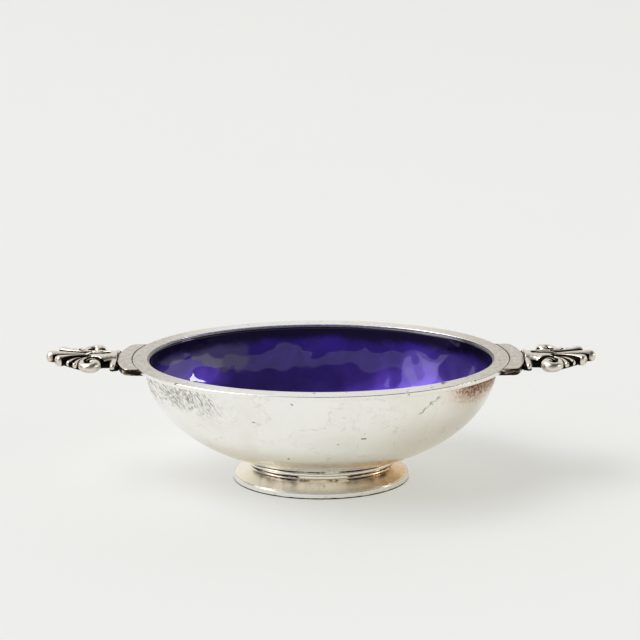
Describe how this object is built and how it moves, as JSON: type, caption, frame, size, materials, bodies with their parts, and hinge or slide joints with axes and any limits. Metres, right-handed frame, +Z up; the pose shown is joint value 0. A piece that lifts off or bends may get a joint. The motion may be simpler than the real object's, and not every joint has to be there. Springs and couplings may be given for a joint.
{
  "type": "salt cellar",
  "caption": "Oval open salt cellar: enamel-lined silver bowl with a flat rim on a spread oval foot, with a cast palmette handle on a bracket plate at each end.",
  "frame": {"origin": "on the table under the middle of the foot, at the centre of the oval", "axes": "+X along the two handles, +Z up out of the bowl, +Y across the bowl"},
  "size_m": [0.096, 0.0432, 0.0236],
  "materials": {
    "polished_silver": "polished sterling silver, worn, with fine scratches and light tarnish",
    "oxidised_silver": "cast silver with blackened recesses and rubbed bright high points",
    "cobalt_enamel": "glossy fired transparent cobalt-violet enamel over hammered silver"
  },
  "bodies": {
    "root": {"bowl": "polished_silver", "rim_band": "polished_silver", "foot_spread": "polished_silver", "foot_bead": "polished_silver", "foot_base_wire": "polished_silver", "left_bracket_plate": "polished_silver", "right_bracket_plate": "polished_silver", "left_neck_band": "oxidised_silver", "right_neck_band": "oxidised_silver", "left_palmette": "oxidised_silver", "right_palmette": "oxidised_silver", "enamel_lining": "cobalt_enamel"}
  },
  "joints": []
}
